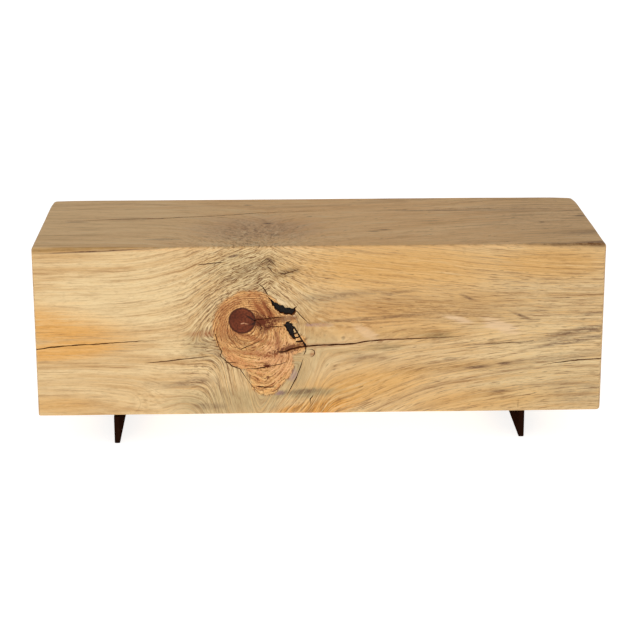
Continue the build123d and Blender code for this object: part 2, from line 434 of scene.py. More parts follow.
def fine_grain_effect() -> Group:
    """Write what a ring count and a fibre height show at the surface.

    Line is the dark latewood of each ring and Pale its light wood. Streak is the fine fibres,
    Band the broad ones, Duct the short resin ducts, Crumb the torn fibres and Dash the short
    ones, all about 0.5.
    """
    effect = Effect(
        "fine_grain",
        {"Position": "Vector", "Age": "Float", "Fibre": "Float"},
        ["Line", "Pale", "Streak", "Band", "Duct", "Crumb", "Dash"],
    )
    x, y, z = effect.split(effect.given("Position"))
    age = effect.given("Age")
    across = effect.given("Fibre") - y * 0.4

    def fibres(along: Operand, through: Operand, fineness: float, detail: float, roughness: float) -> Reading:
        """Return noise that is drawn out along the fibres."""
        return effect.grain(effect.vector(along, through, across * fineness), 1.0, detail, roughness)

    streak = fibres(x * 9.0, age * 0.5, 200.0, 4.0, 0.68)
    effect.give("Streak", streak)
    uneven = age + effect.row_noise(age, 0.6) * 1.6 + (streak - 0.5) * 0.8
    part = uneven.fraction()
    weight = effect.row_noise(age, 1.3).ramp(0.30, 0.70)
    effect.give("Line", part.ramp(0.45, 0.86) * part.ramp(1.0, 0.92) * weight)
    effect.give("Pale", part.ramp(0.0, 0.20) * part.ramp(0.50, 0.25) * weight)
    effect.give("Band", fibres(x * 3.4, age * 0.18, 62.0, 3.0, 0.6))
    effect.give("Duct", fibres(x * 42.0, z * 20.0, 400.0, 1.0, 0.4))
    effect.give("Crumb", fibres(x * 80.0, (y + z) * 60.0, 300.0, 3.0, 0.65))
    effect.give("Dash", fibres(x * 26.0, age * 0.8, 360.0, 3.0, 0.62))
    return effect.tree


def mottle_effect() -> Group:
    """Write the cloudy and the fine unevenness of a metal's skin, both about 0.5."""
    effect = Effect("mottle", {"Position": "Vector", "Size": "Float"}, ["Cloud", "Grit"])
    x, y, z = effect.split(effect.given("Position"))
    size = effect.given("Size")
    place = effect.vector(x / size, y / size, z / size)
    effect.give("Cloud", effect.grain(place, 1.0, 3.0, 0.6))
    effect.give("Grit", effect.grain(place, 14.0, 2.0, 0.6))
    return effect.tree


@dataclass(frozen=True)
class Effects:
    """The shared node groups that the finishes place."""

    soft_patch: Group
    trunk_growth: Group
    limb_growth: Group
    fine_grain: Group
    mottle: Group


# =================================================================== finishes
@dataclass(frozen=True)
class Stain:
    """A patch of other colour that grew or soaked into the wood.

    Attributes:
        centre: its middle, millimetres in the bench's frame.
        half_size: its half length, half depth and half height, millimetres.
        colour: the colour that it brings.
        strength: how much of it shows, 0 to 1.
        tilt: how far it rises towards the right, degrees.
    """

    centre: Triple
    half_size: Triple
    colour: Tone
    strength: float
    tilt: float = 0.0


def on_front(
    x: float, z: float, half_size: Triple, colour: Tone, strength: float, tilt: float = 0.0
) -> Stain:
    """Return a stain whose middle is in the front face, its place in millimetres."""
    return Stain((x, FRONT_Y / MM, z), half_size, colour, strength, tilt)


def on_top(x: float, y: float, half_size: Triple, colour: Tone, strength: float) -> Stain:
    """Return a stain whose middle is in the top face, its place in millimetres."""
    return Stain((x, y, TOP_Z / MM), half_size, colour, strength)


GOLD = tone(228, 164, 78)
HONEY = tone(220, 166, 92)
AMBER = tone(184, 138, 78)
OLIVE = tone(168, 148, 106)
STRAW = tone(238, 212, 162)
DUSK = tone(92, 62, 48)
LILAC = tone(160, 124, 128)
MOULD = tone(104, 98, 68)
ROSE = tone(234, 200, 160)
RUST = tone(158, 90, 48)
UMBER = tone(78, 46, 26)
TANNED = tone(255, 194, 127)
PITCH_BROWN = tone(96, 40, 12)
# Broad tints of the trunk's wood.
WASHES = (
    on_top(0, 0, (900, 600, 9), TANNED, 0.42),
    on_front(-560, 268, (145, 60, 42), GOLD, 0.80, -6),
    on_front(-550, 212, (145, 60, 22), GOLD, 0.75, 5),
    on_top(-500, 0, (400, 260, 9), STRAW, 0.22),
    on_front(-560, 92, (90, 60, 20), HONEY, 0.5),
    on_front(-54, 158, (30, 24, 46), OLIVE, 0.6),
    on_front(-420, 330, (170, 80, 70), STRAW, 0.55),
    on_front(-430, 150, (160, 80, 60), STRAW, 0.12),
    on_front(-300, 225, (60, 60, 20), STRAW, 0.5),
    on_front(-150, 392, (92, 90, 50), OLIVE, 0.48),
    on_front(-262, 232, (34, 60, 34), OLIVE, 0.45),
    on_front(-500, 439, (190, 12, 8), AMBER, 0.8, 2),
    on_front(-190, 96, (120, 60, 34), OLIVE, 0.60),
    on_front(-20, 250, (60, 60, 80), OLIVE, 0.4),
    on_front(14, 82, (80, 40, 20), tone(222, 152, 64), 1.0, 10),
    on_front(-44, 77, (62, 40, 13), tone(222, 156, 74), 0.85, 8),
    on_front(150, 392, (250, 60, 52), HONEY, 0.75),
    on_front(90, 128, (150, 80, 40), HONEY, 0.80, 8),
    on_front(360, 96, (170, 60, 26), HONEY, 0.60, 3),
    on_front(500, 400, (130, 60, 40), HONEY, 0.7),
    on_front(80, 285, (150, 60, 44), tone(206, 150, 82), 0.60, 6),
    on_front(270, 290, (200, 60, 60), tone(214, 160, 88), 0.45, -6),
    on_front(427, 316, (190, 80, 34), AMBER, 0.18, -4),
    on_front(488, 130, (160, 80, 62), OLIVE, 0.22, 6),
    on_front(520, 210, (170, 80, 130), STRAW, 0.20),
    on_front(420, 250, (130, 60, 70), STRAW, 0.24),
    on_front(290, 170, (150, 60, 14), AMBER, 0.55, 3),
    on_front(200, 246, (120, 30, 14), AMBER, 0.55),
    on_top(-130, -60, (150, 120, 40), tone(178, 118, 90), 0.26),
    on_front(-30, 114, (80, 24, 12), OLIVE, 0.9, 3),
)
# Dark, mouldy and resin-stained marks that follow the fibres, on the front and then on the top, and painted
# shade on the worn upper front edge at the right end.
STREAKS = (
    on_front(-184, 421, (14, 24, 3), DUSK, 1.0, 10),
    on_front(-108, 405, (12, 24, 14), UMBER, 0.8),
    on_front(-140, 388, (34, 24, 22), DUSK, 0.35, 20),
    on_front(-68, 385, (32, 24, 8), UMBER, 0.8, 10),
    on_front(-191, 371, (30, 24, 6), DUSK, 0.6, 10),
    on_front(-248, 250, (46, 30, 8), RUST, 0.8, 2),
    on_front(-240, 215, (40, 30, 24), DUSK, 0.35),
    on_front(-280, 140, (50, 24, 9), DUSK, 0.75, 6),
    on_front(-240, 86, (38, 24, 7), DUSK, 0.6),
    on_front(-345, 136, (44, 24, 10), DUSK, 0.3, -8),
    on_front(-60, 155, (12, 24, 14), LILAC, 0.8),
    on_front(-92, 115, (14, 24, 5), LILAC, 0.9),
    on_front(40, 331, (110, 30, 9), DUSK, 0.55, 6),
    on_front(170, 338, (50, 30, 4), DUSK, 0.6, 8),
    on_front(90, 279, (120, 30, 4), DUSK, 0.85, 4),
    on_front(180, 234, (110, 30, 3), RUST, 0.6, 2),
    on_front(-5, 267, (30, 30, 4), LILAC, 0.8),
    on_front(314, 326, (18, 30, 4), DUSK, 0.9, -22),
    on_front(430, 284, (28, 30, 4), DUSK, 0.9, -22),
    on_front(471, 294, (24, 30, 3), DUSK, 0.8),
    on_front(250, 300, (200, 60, 30), DUSK, 0.38, -6),
    on_front(360, 221, (70, 30, 3), DUSK, 0.6, 3),
    on_front(552, 246, (96, 40, 9), DUSK, 1.0, 10),
    on_front(545, 226, (90, 40, 6), DUSK, 0.9, 9),
    on_front(520, 190, (110, 40, 10), DUSK, 0.45, 6),
    on_front(590, 288, (34, 30, 4), DUSK, 0.7, 3),
    on_front(500, 330, (140, 60, 60), DUSK, 0.16),
    on_front(337, 169, (32, 30, 4), DUSK, 0.8, 3),
    on_front(280, 189, (14, 30, 3), DUSK, 0.9, 3),
    on_front(136, 216, (54, 24, 9), MOULD, 0.65, 3),
    on_front(-16, 204, (5, 24, 10), RUST, 0.9, -30),
    on_front(255, 240, (44, 24, 9), MOULD, 0.60),
    on_front(60, 206, (40, 24, 6), MOULD, 0.45),
    on_front(397, 177, (14, 30, 3), DUSK, 0.9, 3),
    on_front(388, 114, (22, 30, 3), DUSK, 0.7, 3),
    on_front(100, 190, (60, 30, 12), DUSK, 0.45, 3),
    on_front(-40, 117, (44, 24, 6), DUSK, 0.85, 4),
    on_front(560, 105, (60, 40, 34), DUSK, 0.35, -10),
    on_top(520, 20, (170, 220, 9), DUSK, 0.22),
    on_front(10, 222, (90, 30, 5), RUST, 0.7, 2),
    on_top(-130, -70, (110, 90, 40), tone(104, 66, 46), 0.34),
    on_top(600, -120, (70, 26, 20), UMBER, 0.4),
    # Painted shade: dark bands on the worn, rounded upper front edge at the right end.
    on_front(560, 440, (130, 16, 5), UMBER, 1.0),
    on_front(595, 438, (40, 20, 9), UMBER, 0.5),
    on_front(-470, 434, (150, 12, 2), DUSK, 1.0, 2.2),
    on_top(120, -98, (16, 6, 8), UMBER, 0.8),
    on_top(144, -86, (20, 6, 8), UMBER, 0.9),
    on_top(594, 30, (16, 8, 8), UMBER, 0.9),
    # Painted shade on the same worn front edge, where it rounds over into the top.
    on_top(588, -214, (52, 14, 10), tone(112, 62, 22), 1.0),
    on_top(300, 96, (170, 7, 8), DUSK, 0.6),
    on_top(499, -26, (8, 6, 8), UMBER, 0.8),
    on_top(-534, 10, (26, 6, 8), DUSK, 0.7),
    on_top(-331, -155, (36, 8, 8), DUSK, 0.7),
    on_top(-155, 161, (10, 8, 8), UMBER, 0.7),
    on_top(-110, -17, (13, 7, 8), UMBER, 0.9),
    on_top(-95, -125, (13, 7, 8), UMBER, 0.8),
    on_top(252, -6, (26, 7, 8), DUSK, 0.6),
    on_top(523, -131, (80, 9, 8), DUSK, 0.5),
    on_top(-405, 34, (64, 6, 8), UMBER, 0.8),
)
# Pale flecks across the grain, and pale crumbs with painted highlight along the upper bark pocket's edge.
FLECKS_AND_HIGHLIGHTS = (
    # Pale crumbs along the upper bark pocket's edge, with painted highlight where that edge is lit.
    on_front(-82, 319, (15, 20, 3.5), tone(238, 208, 162), 0.75, -25),
    on_front(-57, 285, (9, 20, 5), tone(238, 208, 170), 0.7, -45),
    on_front(388, 262, (44, 20, 13), ROSE, 0.6, -22),
    on_front(298, 277, (30, 20, 6), ROSE, 0.6, -14),
    on_front(96, 252, (26, 20, 10), ROSE, 0.45, -30),
)
# Resin and tints in the limb's wood.
PITCH = (
    on_front(-120, 299, (10, 40, 24), tone(170, 92, 46), 0.5, 40),
    on_front(-113, 302, (22, 40, 3.5), tone(124, 56, 22), 0.8, -62),
    on_front(-126, 299, (18, 40, 3), tone(132, 62, 26), 0.7, -55),
    on_front(-104, 293, (12, 40, 3), tone(134, 64, 28), 0.6, -70),
    on_front(-70, 283, (9, 40, 6), tone(244, 198, 146), 0.6),
    on_front(-130, 274, (9, 40, 9), tone(44, 14, 4), 1.0, 20),
    on_front(-124, 277, (17, 40, 11), PITCH_BROWN, 1.0, -10),
    on_front(-112, 263, (15, 40, 6), PITCH_BROWN, 0.9, 35),
    on_front(-90, 196, (36, 40, 34), tone(224, 162, 122), 0.40, 20),
    on_front(-182, 188, (34, 40, 9), tone(204, 128, 84), 0.35, -30),
    on_front(-186, 316, (34, 40, 5), RUST, 0.4, 30),
    on_front(-176, 232, (40, 40, 5), PITCH_BROWN, 0.35, -24),
    on_front(-80, 281, (34, 40, 5), PITCH_BROWN, 0.7, 6),
    on_front(-150, 240, (40, 40, 4), RUST, 0.65, -18),
    on_front(-91, 230, (4, 40, 20), tone(132, 66, 34), 0.6, 8),
    on_front(-70, 213, (32, 40, 6), PITCH_BROWN, 0.9, 16),
    on_front(-208, 266, (7, 40, 40), RUST, 0.45),
    on_front(-150, 205, (50, 40, 4), RUST, 0.6, -8),
    on_front(-115, 177, (6, 40, 4), PITCH_BROWN, 1.0, -30),
    on_front(-113, 150, (3, 40, 3), PITCH_BROWN, 0.8),
)
# Painted highlight, as a small pale speck, and dark cracks in the limb's heart.
HEART_HIGHLIGHT_AND_CRACKS = (
    # Painted highlight: a small pale speck on the dark heart, drawn as two ellipses.
    on_front(-166, 272, (5, 20, 1.2), tone(216, 158, 118), 0.8, 12),
    on_front(-158, 271, (4, 20, 1.1), tone(204, 148, 106), 0.8, -10),
    on_front(-148, 283, (14, 20, 1.8), tone(40, 16, 8), 0.9, -35),
    on_front(-142, 272, (12, 20, 1.8), tone(40, 16, 8), 0.8, 25),
)
CLOSE_RINGS = on_front(-170, 288, (74, 60, 62), RUST, 1.0)


@dataclass
class Wood:
    """The block's surface while its nodes are written.

    Attributes:
        sheet: the material's nodes.
        effects: the shared node groups.
        place: the place in the bench.
        grain: the trunk's growth and its fine grain, by name.
        limb: the limb's growth, by name.
    """

    sheet: Sheet
    effects: Effects
    place: Operand
    grain: dict[str, Reading]
    limb: dict[str, Reading]

    def patch(self, stain: Stain, ragged: Reading) -> Reading:
        """Return how far one stain covers the surface."""
        inputs = {
            "Position": self.place,
            "Centre": tuple(MM * part for part in stain.centre),
            "Half Size": tuple(MM * part for part in stain.half_size),
            "Tilt": math.radians(stain.tilt),
            "Ragged": ragged,
        }
        return self.sheet.place(self.effects.soft_patch, inputs)["Cover"]

    def stained(
        self, colour: Operand, stains: Sequence[Stain], ragged: Reading, thread: Reading | None = None
    ) -> Operand:
        """Lay a set of stains over a colour.

        Args:
            colour: the colour under them.
            stains: the stains, the lowest first.
            ragged: how uneven their edges are.
            thread: the fibres that they soaked into, where they don't cover evenly.

        Returns:
            The stained colour.
        """
        for stain in stains:
            cover = self.patch(stain, ragged)
            if thread is not None:
                cover = cover * thread
            colour = self.sheet.mix(cover * stain.strength, colour, stain.colour)
        return colour


@dataclass(frozen=True)
class TrunkWood:
    """The trunk's wood: fibres, rings and stains.

    Attributes:
        early: the pale wood of spring growth.
        body: the usual colour between.
        late: the dark line that ends each ring.
        gleam: short fibres that catch the light.
    """

    early: Tone = tone(234, 203, 152)
    body: Tone = tone(210, 170, 116)
    late: Tone = tone(150, 105, 62)
    gleam: Tone = tone(232, 188, 124)

    def colour(self, wood: Wood) -> Operand:
        """Lay the trunk's colours over one another."""
        sheet, grain = wood.sheet, wood.grain
        figure, ripple, streak = grain["Figure"], grain["Ripple"], grain["Streak"]
        band, crumb, dash = grain["Band"], grain["Crumb"], grain["Dash"]
        x, y, z = sheet.split(wood.place)
        # Where the grain is lively, where the rings are faint under the limb, how calm the top
        # is, and where short fibres break the surface.
        lively = (figure + ripple * 0.8 + x.ramp(0.0, 0.4) * 0.42).least(1.0)
        calmed = ((x + 0.138) / 0.066).squared() + ((z - 0.098) / 0.046).squared()
        plain = 1.0 - calmed.squared().decay() * 0.75
        calm = z.ramp(TOP_Z - 0.004, TOP_Z - 0.001) * (figure * 0.25 - 0.4) + 1.0
        to_right = x.ramp(-0.02, 0.15) * z.ramp(0.40, 0.34) * 0.32 + x.ramp(0.3, 0.5) * 0.12
        choppy = (to_right + ripple * 0.3 + 0.24) * calm
        ragged = (streak - 0.5) * 1.6 + (band - 0.5) * 1.4
        torn = (crumb - 0.5) * 1.6 + ragged
        thread = (streak.ramp(0.44, 0.58) * 0.5 + crumb.ramp(0.46, 0.60) * 0.5) * 0.7 + 0.3
        dark = sheet.mix(lively * 0.6, self.late, UMBER)
        colour = sheet.mix(band.ramp(0.30, 0.70), self.early, self.body)
        colour = sheet.layered(
            wood.stained(colour, WASHES, ragged),
            (grain["Line"] * (lively * 0.50 + 0.20) * plain, dark),
            (grain["Pale"] * (figure * 0.5 + ripple * 0.6 + 0.08).least(0.8) * plain, STRAW),
            (streak.ramp(0.53, 0.70) * (lively * 0.45 + 0.50) * calm * (plain * 0.5 + 0.5), dark),
            (streak.ramp(0.47, 0.30) * (lively * 0.30 + 0.45), self.early),
            (crumb.ramp(0.52, 0.63) * (figure * 0.95 + ripple * 0.40 + 0.12) * calm, dark),
            (crumb.ramp(0.47, 0.36) * (figure * 0.75 + ripple * 0.20 + 0.05), STRAW),
            (dash.ramp(0.54, 0.66) * choppy, dark),
            (dash.ramp(0.46, 0.34) * choppy, self.gleam),
        )
        colour = wood.stained(wood.stained(colour, STREAKS, torn, thread), FLECKS_AND_HIGHLIGHTS, ragged * 1.4)
        return sheet.mix(grain["Duct"].ramp(0.68, 0.80) * (x.ramp(-0.2, 0.2) * 0.4 + 0.2), colour, UMBER)


@dataclass(frozen=True)
class EndGrain:
    """The sawn ends: rings about the pith, rays, fine saw marks and torn pores.

    Attributes:
        pale: the lighter of the wood's two tints.
        body: the darker one.
        inner: the old wood round the pith.
        late: the dark line that ends each ring.
        ray: the rays that run out from the pith.
        saw: the marks of the saw.
        pore: the torn pores.
        pith: the pith itself.
    """

    pale: Tone = tone(226, 188, 136)
    body: Tone = tone(208, 164, 112)
    inner: Tone = tone(192, 136, 80)
    late: Tone = tone(138, 88, 48)
    ray: Tone = tone(150, 104, 62)
    saw: Tone = tone(156, 112, 70)
    pore: Tone = tone(132, 88, 52)
    pith: Tone = tone(104, 58, 30)

    def colour(self, wood: Wood) -> Operand:
        """Lay the ends' colours over one another."""
        sheet = wood.sheet
        x, y, z = sheet.split(wood.place)
        out, up = y - PITH_Y, z - PITH_Z
        from_pith = (out.squared() + up.squared()).root().most(0.001)
        out_way, up_way = out / from_pith, up / from_pith
        wander = sheet.grain(sheet.vector(out_way, up_way, from_pith * 5.0), 2.0, 2.0) - 0.5
        rings = (from_pith * (wander * 0.30 + 1.0) + up * 0.10 - out * 0.22) / 0.0062
        cloud = sheet.grain(wood.place, 9.0, 3.0, 0.6)
        grit = sheet.grain(wood.place, 420.0, 2.0, 0.6)
        part = (rings + sheet.row_noise(rings, 0.45) * 2.6 + (grit - 0.5) * 0.5).fraction()
        weight = sheet.row_noise(rings, 1.1).ramp(0.30, 0.66) * 0.6 + 0.4
        line = part.ramp(0.25, 0.86) * part.ramp(1.0, 0.93) * weight
        rays = sheet.grain(sheet.vector(out_way * 46.0, up_way * 46.0, from_pith * 8.0), 1.0, 2.0)
        saw = sheet.grain(sheet.vector(x, y * 34.0 + z * 150.0, z * 4.0), 1.0, 2.0)
        return sheet.layered(
            self.pale,
            (cloud.ramp(0.35, 0.65), self.body),
            (from_pith.ramp(0.15, 0.08) * 0.55, self.inner),
            (line * (cloud * 0.6 + 0.40), self.late),
            (rays.ramp(0.56, 0.72) * 0.22, self.ray),
            (saw.ramp(0.54, 0.68) * 0.14, self.saw),
            (grit.ramp(0.55, 0.70) * 0.25, self.pore),
            (from_pith.ramp(0.0050, 0.0025), self.pith),
        )


@dataclass(frozen=True)
class LimbWood:
    """The limb's wood: orange, with close rings and pitch.

    Attributes:
        pale: the lighter of the wood's two tints.
        body: the darker one.
        inner: the wood where the rings are close.
        early: the pale side of each ring.
        gleam: short fibres that catch the light.
        glint: specks that do.
        late: the dark line that ends each ring.
        fibre: short dark fibres.
        speck: dark specks.
    """

    pale: Tone = tone(234, 180, 112)
    body: Tone = tone(216, 154, 92)
    inner: Tone = tone(200, 128, 66)
    early: Tone = tone(248, 208, 142)
    gleam: Tone = tone(252, 212, 148)
    glint: Tone = tone(248, 210, 146)
    late: Tone = tone(100, 46, 16)
    fibre: Tone = tone(112, 54, 22)
    speck: Tone = tone(104, 52, 22)

    def colour(self, wood: Wood) -> Operand:
        """Lay the limb's colours over one another, with its heart on top."""
        sheet, limb = wood.sheet, wood.limb
        cloud = sheet.grain(wood.place, 40.0, 3.0, 0.6)
        speckle = sheet.grain(wood.place, 240.0, 3.0, 0.7)
        age = limb["Age"] + (speckle - 0.5) * 0.6
        part = (age + sheet.row_noise(limb["Age"], 0.8) * 1.2).fraction()
        line = part.ramp(0.48, 0.84) * part.ramp(1.0, 0.90)
        close = wood.patch(CLOSE_RINGS, speckle - 0.5)
        broken = cloud.ramp(0.30, 0.55) * speckle.ramp(0.34, 0.50)
        dash = limb["Dash"]
        blots = (speckle - 0.5) * 4.5 + (line - 0.5) * 0.9 + (dash - 0.5) * 3.0
        colour = sheet.layered(
            self.pale,
            (cloud.ramp(0.35, 0.65), self.body),
            (close * 0.40, self.inner),
            (part.ramp(0.35, 0.10) * 0.40, self.early),
            (dash.ramp(0.46, 0.34) * 0.75, self.gleam),
            (speckle.ramp(0.46, 0.28) * 0.35, self.glint),
            (line * (close * 0.55 + 0.45) * (broken * 0.6 + 0.4), self.late),
            (dash.ramp(0.53, 0.63) * (close * 0.15 + 0.80), self.fibre),
            (speckle.ramp(0.54, 0.66) * 0.55, self.speck),
        )
        heart = HeartWood().colour(wood, cloud, speckle, blots * 0.3)
        return sheet.mix(limb["Heart"].ramp(1.05, 0.97), wood.stained(colour, PITCH, blots), heart)


@dataclass(frozen=True)
class HeartWood:
    """The dark red heart of the limb.

    Attributes:
        pale: the lighter of its two tints.
        body: the darker one.
        late: its rings.
        speck: dark specks.
        rim: the darker edge.
    """

    pale: Tone = tone(122, 58, 30)
    body: Tone = tone(100, 42, 18)
    late: Tone = tone(78, 32, 10)
    speck: Tone = tone(60, 24, 7)
    rim: Tone = tone(48, 18, 6)

    def colour(self, wood: Wood, cloud: Reading, speckle: Reading, ragged: Reading) -> Operand:
        """Lay the heart's colours over one another.

        Args:
            wood: the block's surface.
            cloud: the limb's broad unevenness.
            speckle: its fine one.
            ragged: how uneven the edges of the heart's marks are.

        Returns:
            The colour.
        """
        heart = wood.limb["Heart"]
        part = (heart * 4.5 + cloud * 1.6).fraction()
        colour = wood.sheet.layered(
            self.pale,
            (cloud.ramp(0.35, 0.65), self.body),
            (part.ramp(0.5, 1.0) * 0.5, self.late),
            (speckle.ramp(0.47, 0.62) * 0.6, self.speck),
            (heart.ramp(0.80, 1.0) * 0.7, self.rim),
        )
        return wood.stained(colour, HEART_HIGHLIGHT_AND_CRACKS, ragged)


@dataclass(frozen=True)
class PineFinish:
    """Oiled old pine, with all that grew into it.

    Attributes:
        effects: the shared node groups.
        roughness: of the oiled surface.
        gloss: strength of its clear reflections.
        relief: depth of the fibres, metres.
        limb_edge: half width of the soft edge between limb and trunk, metres.
        end_edge: where the end grain starts to show and shows in full, metres from the end.
    """

    effects: Effects
    roughness: float = 0.52
    gloss: float = 0.15
    relief: float = 0.0006
    limb_edge: float = 0.003
    end_edge: Point = (0.0040, 0.0022)

    def material(self) -> bpy.types.Material:
        """Write the surface of the block."""
        made, sheet, shader = new_material("oiled_pine")
        place = sheet.position()
        growth = sheet.place(self.effects.trunk_growth, {"Position": place})
        inputs = {"Position": place, "Age": growth["Age"], "Fibre": growth["Fibre"]}
        grain = growth | sheet.place(self.effects.fine_grain, inputs)
        limb = sheet.place(self.effects.limb_growth, {"Position": place})
        wood = Wood(sheet, self.effects, place, grain, limb)
        inside = limb["Inside"]
        rim = (inside / 0.0022).squared().decay() * 0.6
        starts, whole = (BLOCK_HIGH.x - edge for edge in self.end_edge)
        colour = sheet.layered(
            TrunkWood().colour(wood),
            (inside.ramp(-self.limb_edge, self.limb_edge), LimbWood().colour(wood)),
            (rim * grain["Crumb"].ramp(0.45, 0.6), UMBER),
            (sheet.split(place)[0].math("ABSOLUTE").ramp(starts, whole), EndGrain().colour(wood)),
        )
        feed(shader.inputs["Base Color"], colour)
        shader.inputs["Specular IOR Level"].default_value = self.gloss
        feed(shader.inputs["Roughness"], (grain["Streak"] - 0.5) * 0.18 + self.roughness)
        height = (grain["Line"] * -0.5) + grain["Streak"] * 0.8 + grain["Duct"].ramp(0.8, 0.66) * 0.6
        feed(shader.inputs["Normal"], sheet.bump(0.7, self.relief, height))
        return made


@dataclass(frozen=True)
class PaintedCheckShade:
    """The inside of a drying check or a bark pocket, torn along the fibres, painted dark as the shade in the
    narrow cut.
    """

    effects: Effects
    # Both tones are far darker than the block's wood: painted shade inside the cuts.
    light: Tone = tone(160, 92, 50)
    dark: Tone = tone(92, 46, 22)
    roughness: float = 0.72
    gloss: float = 0.05
    relief: float = 0.0008

    def material(self) -> bpy.types.Material:
        """Write the finish."""
        made, sheet, shader = new_material("check_wall_painted_shade")
        place = sheet.position()
        growth = sheet.place(self.effects.trunk_growth, {"Position": place})
        inputs = {"Position": place, "Age": growth["Age"], "Fibre": growth["Fibre"]}
        streak = sheet.place(self.effects.fine_grain, inputs)["Streak"]
        torn = sheet.grain(place, 160.0, 3.0, 0.6)
        lightness = (streak + torn * 0.5).ramp(0.6, 0.95)
        feed(shader.inputs["Base Color"], sheet.mix(lightness, self.dark, self.light))
        feed(shader.inputs["Roughness"], torn * 0.2 + self.roughness)
        shader.inputs["Specular IOR Level"].default_value = self.gloss
        feed(shader.inputs["Normal"], sheet.bump(0.8, self.relief, torn))
        return made


@dataclass(frozen=True)
class BarkFinish:
    """Old bark closed in by the wood: black, crumbly, with grey and brown plates."""

    char: Tone = tone(26, 20, 17)
    plate: Tone = tone(66, 52, 42)
    roughness: float = 0.65
    gloss: float = 0.25
    relief: float = 0.001

    def material(self) -> bpy.types.Material:
        """Write the finish."""
        made, sheet, shader = new_material("closed_in_bark")
        place = sheet.position()
        crumbs = sheet.grain(place, 240.0, 4.0, 0.65)
        plates = sheet.add("TexVoronoi", {"feature": "DISTANCE_TO_EDGE"}, {"Vector": place, "Scale": 170.0})
        seams = Reading(plates.outputs["Distance"]).ramp(0.0, 0.18)
        feed(shader.inputs["Base Color"], sheet.mix(crumbs.ramp(0.5, 0.75) * seams, self.char, self.plate))
        feed(shader.inputs["Roughness"], crumbs * 0.3 + self.roughness)
        shader.inputs["Specular IOR Level"].default_value = self.gloss
        feed(shader.inputs["Normal"], sheet.bump(1.0, self.relief, seams * 0.7 + crumbs))
        return made


@dataclass(frozen=True)
class MetalFinish:
    """A metal skin with cloudy and fine unevenness.

    Attributes:
        name: the material's name.
        base: its usual colour.
        worn: the colour of rubbed or thin places.
        roughness: its usual roughness.
        metallic: 1 for bare metal, 0 for a coating.
        cloud_size: how large the cloudy patches are, metres.
        relief: depth of the fine unevenness, metres.
        scuff_height: how far up from the floor it is rubbed, metres, or 0.
        gloss: strength of its clear reflections.
    """

    name: str
    base: Tone
    worn: Tone
    roughness: float
    metallic: float
    cloud_size: float
    relief: float
    scuff_height: float = 0.0
    gloss: float = 0.5

    def material(self, effects: Effects) -> bpy.types.Material:
        """Write the finish, with the shared node groups that it places."""
        made, sheet, shader = new_material(self.name)
        place = sheet.position()
        skin = sheet.place(effects.mottle, {"Position": place, "Size": self.cloud_size})
        rubbed = skin["Cloud"].ramp(0.5, 0.75) * 0.5
        if self.scuff_height:
            near_floor = (sheet.split(place)[2] / self.scuff_height).squared().decay()
            rubbed = rubbed + near_floor * skin["Grit"].ramp(0.45, 0.65) * 0.6
        feed(shader.inputs["Base Color"], sheet.mix(rubbed, self.base, self.worn))
        feed(shader.inputs["Roughness"], (skin["Cloud"] - 0.5) * 0.3 + self.roughness)
        shader.inputs["Metallic"].default_value = self.metallic
        shader.inputs["Specular IOR Level"].default_value = self.gloss
        feed(shader.inputs["Normal"], sheet.bump(0.6, self.relief, skin["Grit"] * 0.6 + skin["Cloud"]))
        return made


# The finish of each material slot of the feet.
FOOT_FINISHES = {
    "foot_steel": MetalFinish(
        "dark_foot_steel", tone(34, 17, 10), tone(50, 29, 20), roughness=0.7, metallic=0.0,
        cloud_size=0.03, relief=0.0002, scuff_height=0.006, gloss=0.0,
    ),
    "weld": MetalFinish(
        "weld_bead", tone(58, 42, 34), tone(110, 92, 80), roughness=0.5, metallic=0.3,
        cloud_size=0.006, relief=0.0008,
    ),
    "zinc_screw": MetalFinish(
        "zinc_screw", tone(176, 176, 172), tone(214, 212, 204), roughness=0.38, metallic=1.0,
        cloud_size=0.008, relief=0.0001,
    ),
}


def new_material(name: str) -> tuple[bpy.types.Material, Sheet, bpy.types.Node]:
    """Start a material.

    Args:
        name: its name.

    Returns:
        The material, its sheet of nodes and its Principled BSDF.
    """
    made = bpy.data.materials.new(name)
    made.use_nodes = True
    return made, Sheet(made.node_tree), made.node_tree.nodes["Principled BSDF"]


# =================================================================== cuts in the block
class Face(Enum):
    """A face of the block: where its cuts are drawn, and which way is into the wood."""

    FRONT = "front"
    BACK = "back"
    TOP = "top"
    LEFT_END = "left_end"
    RIGHT_END = "right_end"

    def place(self, along: float, across: float, depth: float) -> Vector:
        """Return the point under the face that two drawn distances and a depth give."""
        if self is Face.FRONT:
            return Vector((along, BLOCK_LOW.y + depth, across))
        if self is Face.BACK:
            return Vector((along, BLOCK_HIGH.y - depth, across))
        if self is Face.TOP:
            return Vector((along, across, BLOCK_HIGH.z - depth))
        if self is Face.LEFT_END:
            return Vector((BLOCK_LOW.x + depth, along, across))
        return Vector((BLOCK_HIGH.x - depth, along, across))


def plug(mouth: Sequence[Vector], floor: Sequence[Vector], name: str) -> bpy.types.Mesh:
    """Make a closed plug.

    Args:
        mouth: its outline outside the block.
        floor: the same outline, point for point, at its floor.
        name: the mesh's name.

    Returns:
        The plug.
    """
    shape = bmesh.new()
    verts = [shape.verts.new(point) for point in mouth]
    shape.faces.new(verts)
    grown = bmesh.ops.extrude_face_region(shape, geom=shape.faces[:])
    homes = {tuple(vert.co): deep for vert, deep in zip(verts, floor)}
    for item in grown["geom"]:
        if isinstance(item, bmesh.types.BMVert):
            item.co = homes[tuple(item.co)]
    bmesh.ops.recalc_face_normals(shape, faces=shape.faces[:])
    return to_mesh(shape, name)


